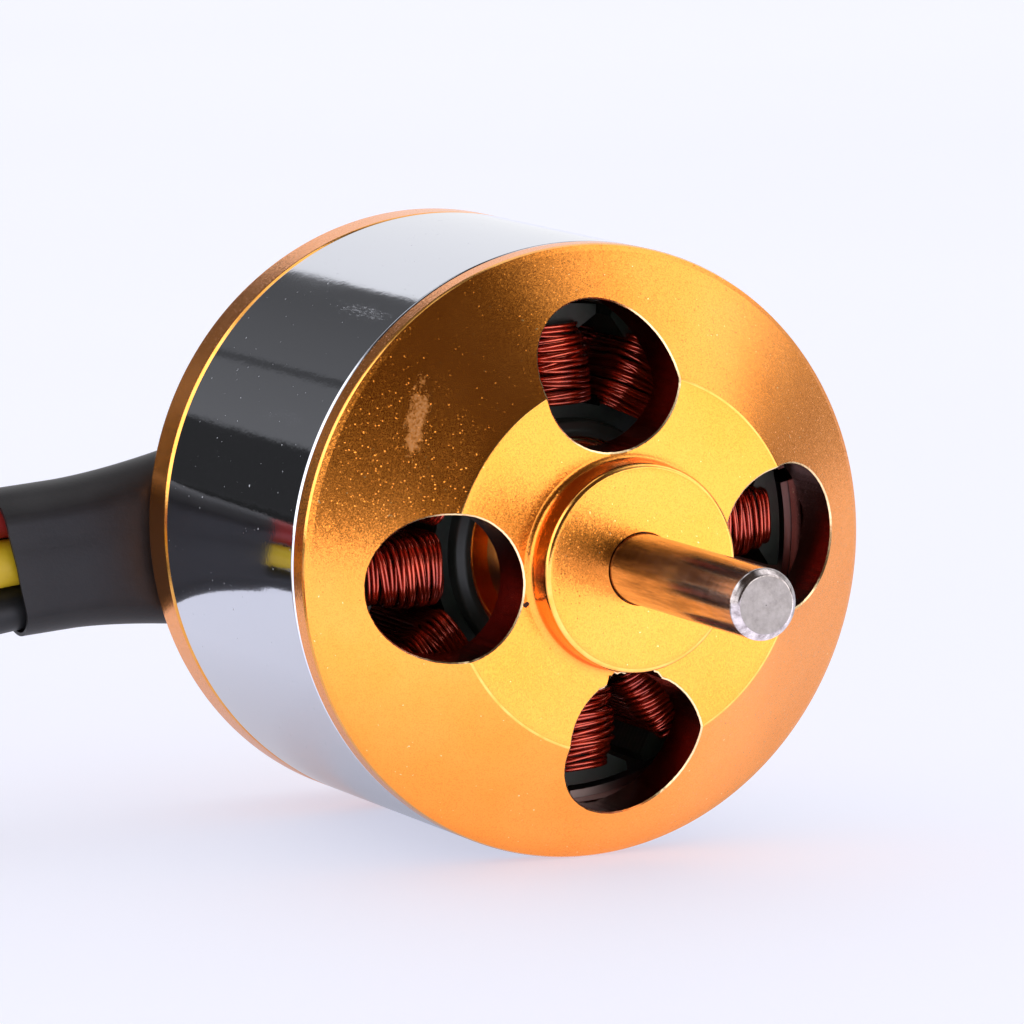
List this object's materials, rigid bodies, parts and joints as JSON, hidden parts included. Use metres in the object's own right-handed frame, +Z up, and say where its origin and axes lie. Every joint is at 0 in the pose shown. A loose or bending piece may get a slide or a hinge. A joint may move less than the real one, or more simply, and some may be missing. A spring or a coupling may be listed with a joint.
{
  "type": "brushless outrunner motor",
  "caption": "Small brushless outrunner motor: gold-capped steel rotor can with vented front, output shaft, wound stator, drilled rear flange and short leads with bullet connectors",
  "frame": {"origin": "centre of the rear mounting face, on the shaft axis", "axes": "the output shaft points along -Y, Z is up as the motor lies on its side, and the leads leave towards -X"},
  "size_m": [0.0829, 0.0435, 0.0278],
  "materials": {
    "gold_anodised": "bead-blasted and gold anodised",
    "flux_ring_steel": "bright polished plated steel",
    "shaft_steel": "ground and polished",
    "bearing_steel": "ground and polished",
    "shield_steel": "pressed sheet",
    "cage_brass": "pressed sheet",
    "spring_steel": "black phosphated spring steel",
    "magnet_nickel": "nickel plated",
    "core_coating": "dark green epoxy coating over laminations",
    "enamelled_wire": "dark red enamelled copper wire, glossy",
    "solder": "tin solder",
    "black_shrink": "shrunk polyolefin tube",
    "red_silicone": "silicone insulation",
    "yellow_silicone": "silicone insulation",
    "black_silicone": "silicone insulation",
    "gold_plate": "gold plated brass"
  },
  "bodies": {
    "stator": {"base_mount": "gold_anodised", "stator_core": "core_coating", "phase_a_coils": "enamelled_wire", "phase_b_coils": "enamelled_wire", "phase_c_coils": "enamelled_wire", "rear_outer_race": "bearing_steel", "rear_shields": "shield_steel", "front_outer_race": "bearing_steel", "front_shields": "shield_steel", "solder_joints": "solder", "shrink_sleeve": "black_shrink", "lead_red": "red_silicone", "lead_yellow": "yellow_silicone", "lead_black": "black_silicone", "bullet_red": "gold_plate", "bullet_yellow": "gold_plate", "bullet_black": "gold_plate", "bullet_sleeve_red": "black_shrink", "bullet_sleeve_yellow": "black_shrink", "bullet_sleeve_black": "black_shrink"},
    "rotor": {"shaft": "shaft_steel", "front_cap": "gold_anodised", "flux_ring": "flux_ring_steel", "rear_ring": "gold_anodised", "magnets_north": "magnet_nickel", "magnets_south": "magnet_nickel", "front_spacer": "shaft_steel", "rear_washer": "shaft_steel", "circlip": "spring_steel", "rear_inner_race": "bearing_steel", "front_inner_race": "bearing_steel"},
    "rear_ball_set": {"rear_balls": "bearing_steel", "rear_ball_cage": "cage_brass"},
    "front_ball_set": {"front_balls": "bearing_steel", "front_ball_cage": "cage_brass"}
  },
  "joints": [
    {"name": "rotor_spin", "type": "hinge", "parent": "stator", "child": "rotor", "pos_m": [0, 0, 0], "axis": [0, -1, 0], "continuous": true},
    {"name": "rear_ball_orbit", "type": "hinge", "parent": "stator", "child": "rear_ball_set", "pos_m": [0, -0.00338, 0], "axis": [0, -1, 0], "continuous": true},
    {"name": "front_ball_orbit", "type": "hinge", "parent": "stator", "child": "front_ball_set", "pos_m": [0, -0.01763, 0], "axis": [0, -1, 0], "continuous": true}
  ],
  "couplings": [
    {"joint": "rear_ball_orbit", "follows": "rotor_spin", "ratio": 0.3577},
    {"joint": "front_ball_orbit", "follows": "rotor_spin", "ratio": 0.3577}
  ]
}
